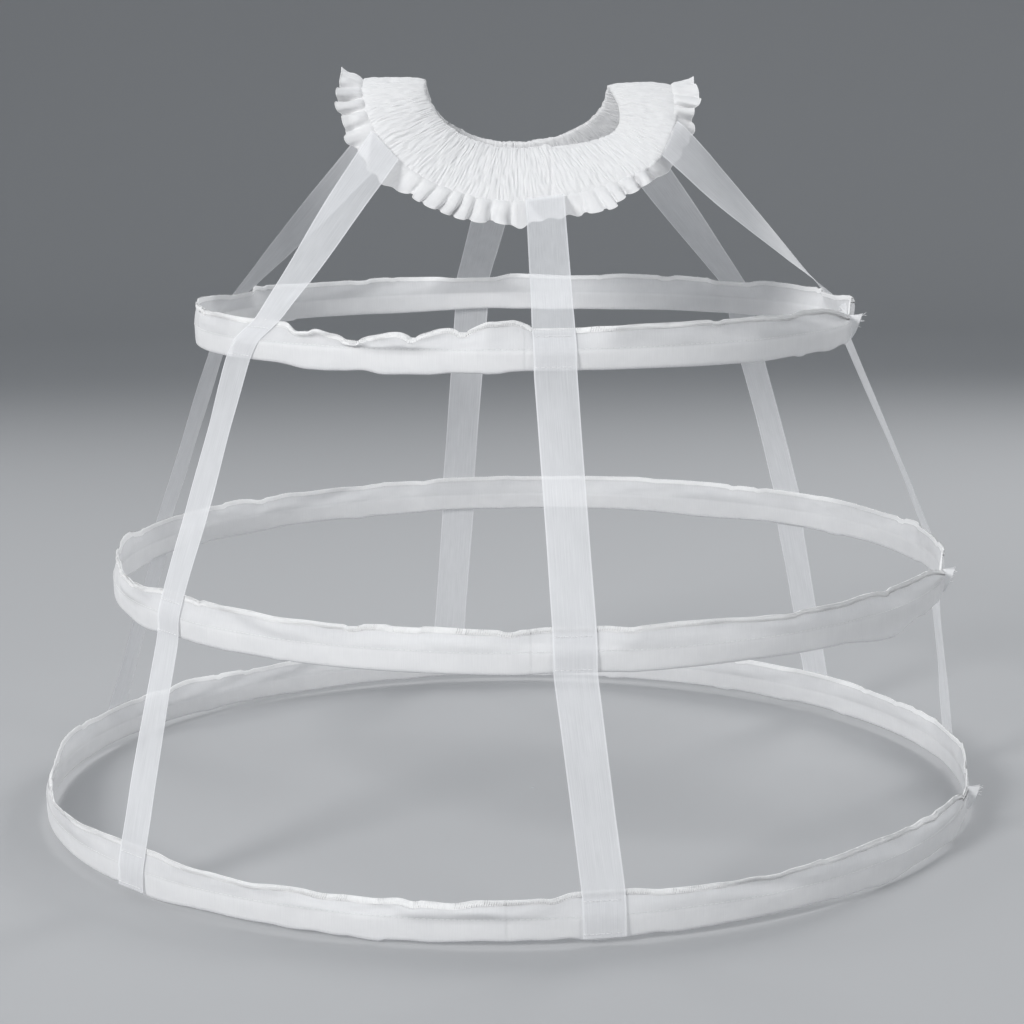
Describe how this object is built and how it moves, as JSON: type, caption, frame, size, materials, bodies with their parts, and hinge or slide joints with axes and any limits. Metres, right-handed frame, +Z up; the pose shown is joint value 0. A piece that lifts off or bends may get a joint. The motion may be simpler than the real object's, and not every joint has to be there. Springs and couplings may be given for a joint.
{
  "type": "crinoline cage",
  "caption": "Open crinoline cage: a gathered elastic waistband with a ruffle, sheer tapes and boned hoops in sheer casings that widen to the hem.",
  "frame": {"origin": "middle of the waist opening, level with the dips of the band's top edge at front and back", "axes": "+Z up, along the line the cage hangs on; -Y is the front, with the front tape; +X is the side with the end seams of the casings"},
  "size_m": [0.6205, 0.6203, 0.4745],
  "materials": {
    "band_cloth": "opaque white cotton-like cloth, finely shirred",
    "ruffle_cloth": "thin white cloth, gathered",
    "sheer_tape": "sheer white ribbon with woven edges",
    "casing_cloth": "sheer white cloth, doubled, with an overlocked edge",
    "elastic": "white woven elastic",
    "bone": "white flat plastic boning",
    "joiner": "pale plastic sleeve"
  },
  "bodies": {
    "root": {"waistband": "band_cloth", "waist_elastic": "elastic", "waist_ruffle": "ruffle_cloth", "front_tape": "sheer_tape", "right_front_tape": "sheer_tape", "right_back_tape": "sheer_tape", "back_tape": "sheer_tape", "left_back_tape": "sheer_tape", "left_front_tape": "sheer_tape", "upper_hoop_casing": "casing_cloth", "middle_hoop_casing": "casing_cloth", "lower_hoop_casing": "casing_cloth", "upper_hoop_bone": "bone", "middle_hoop_bone": "bone", "lower_hoop_bone": "bone", "upper_bone_joiner": "joiner", "middle_bone_joiner": "joiner", "lower_bone_joiner": "joiner"}
  },
  "joints": []
}
